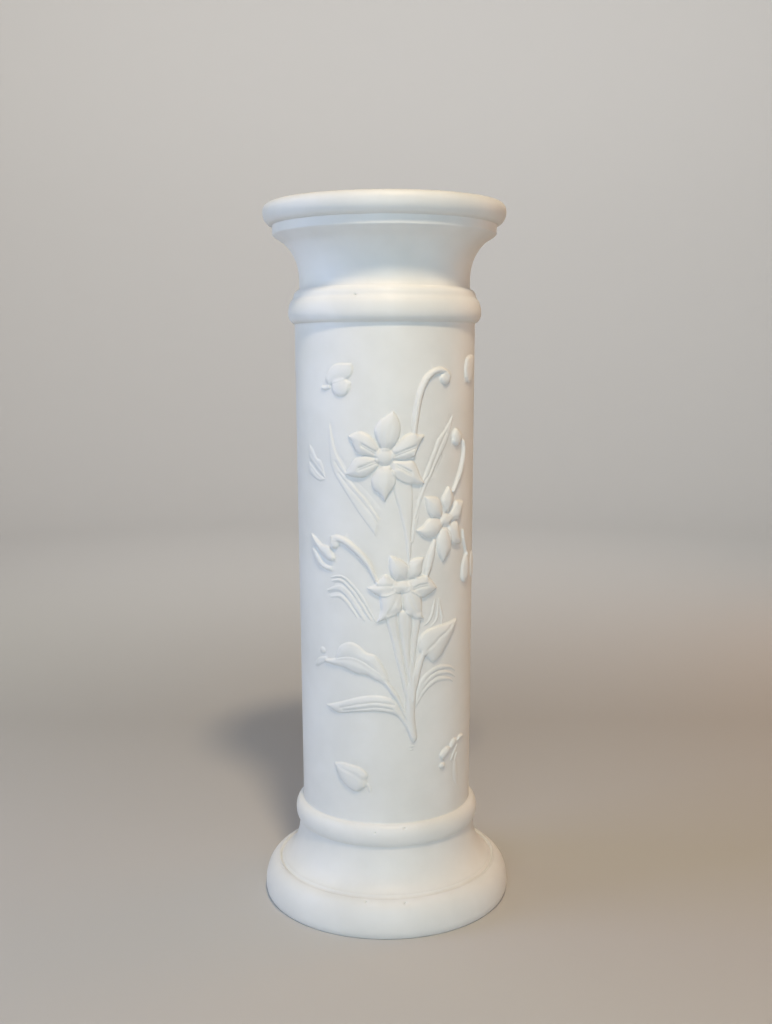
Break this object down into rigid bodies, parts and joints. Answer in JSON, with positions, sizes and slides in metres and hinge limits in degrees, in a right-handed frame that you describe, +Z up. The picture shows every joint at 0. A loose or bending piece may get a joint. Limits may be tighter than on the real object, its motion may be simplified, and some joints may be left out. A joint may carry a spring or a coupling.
{
  "type": "plaster column pedestal",
  "caption": "Round cast plaster column pedestal with a turned foot, a straight shaft with raised narcissus flowers, leaves and buds, and a flared head with a flat round top for a pot or a bust.",
  "frame": {"origin": "the middle of the underside, on the floor", "axes": "+Z up along the column, -Y towards the side with the three flowers, +X to the right as that side is looked at"},
  "size_m": [0.331, 0.331, 0.915],
  "materials": {
    "plaster": "smooth matt cast plaster with a thin white coat"
  },
  "bodies": {
    "root": {"column": "plaster"}
  },
  "joints": []
}
